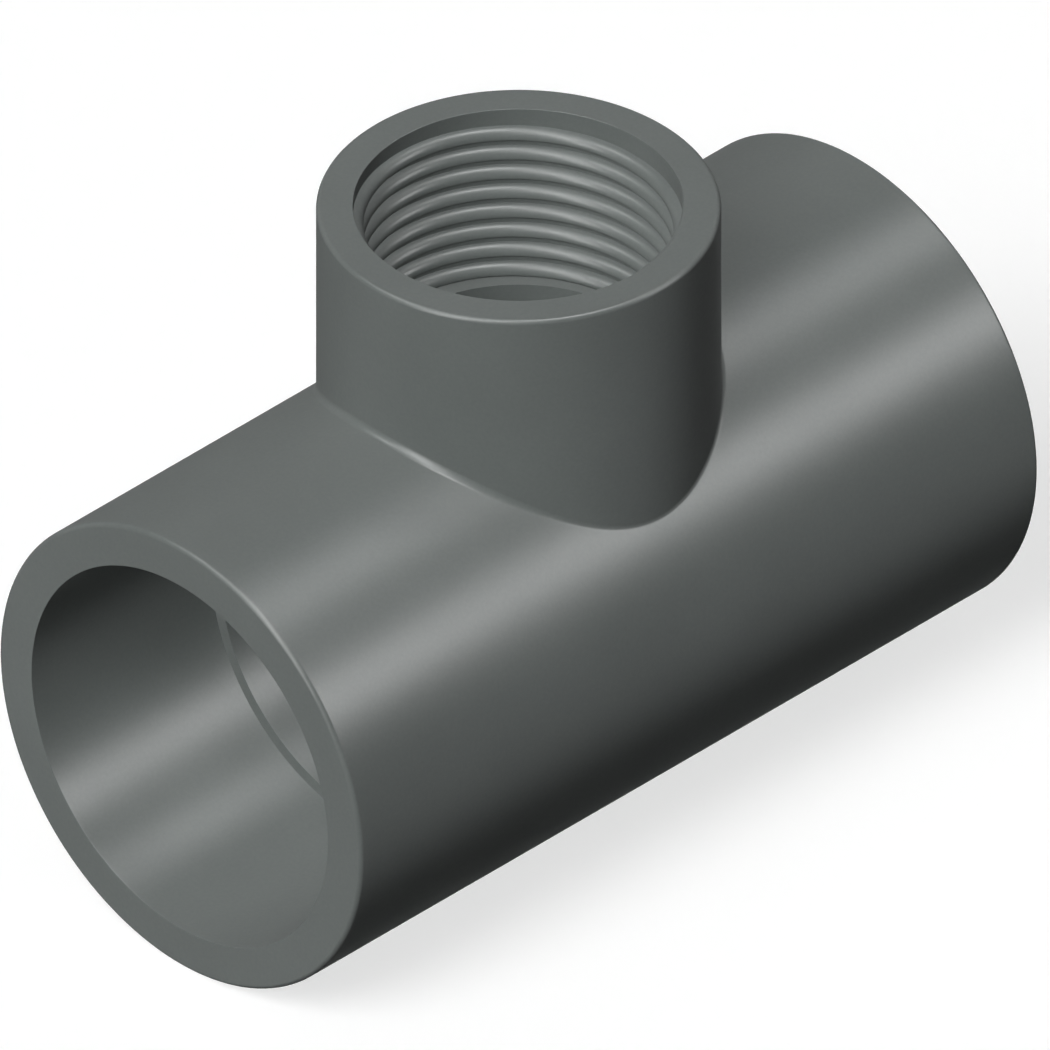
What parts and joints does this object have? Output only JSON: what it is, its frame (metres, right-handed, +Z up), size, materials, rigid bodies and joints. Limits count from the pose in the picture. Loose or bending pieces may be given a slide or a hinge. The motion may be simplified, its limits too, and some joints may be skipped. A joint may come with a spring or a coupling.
{
  "type": "reducing tee",
  "caption": "Reducing pipe tee in rigid plastic: a straight run with a solvent-cement socket at each end and a smaller upright branch with an internal pipe thread.",
  "frame": {"origin": "where the axis of the run crosses the axis of the branch", "axes": "+X along the run, +Z up the axis of the branch and out of its threaded mouth, +Y across the run"},
  "size_m": [0.0936, 0.05, 0.0676],
  "materials": {
    "body": "smooth satin moulded PVC-U, dark grey"
  },
  "bodies": {
    "root": {"tee_body": "body"}
  },
  "joints": []
}
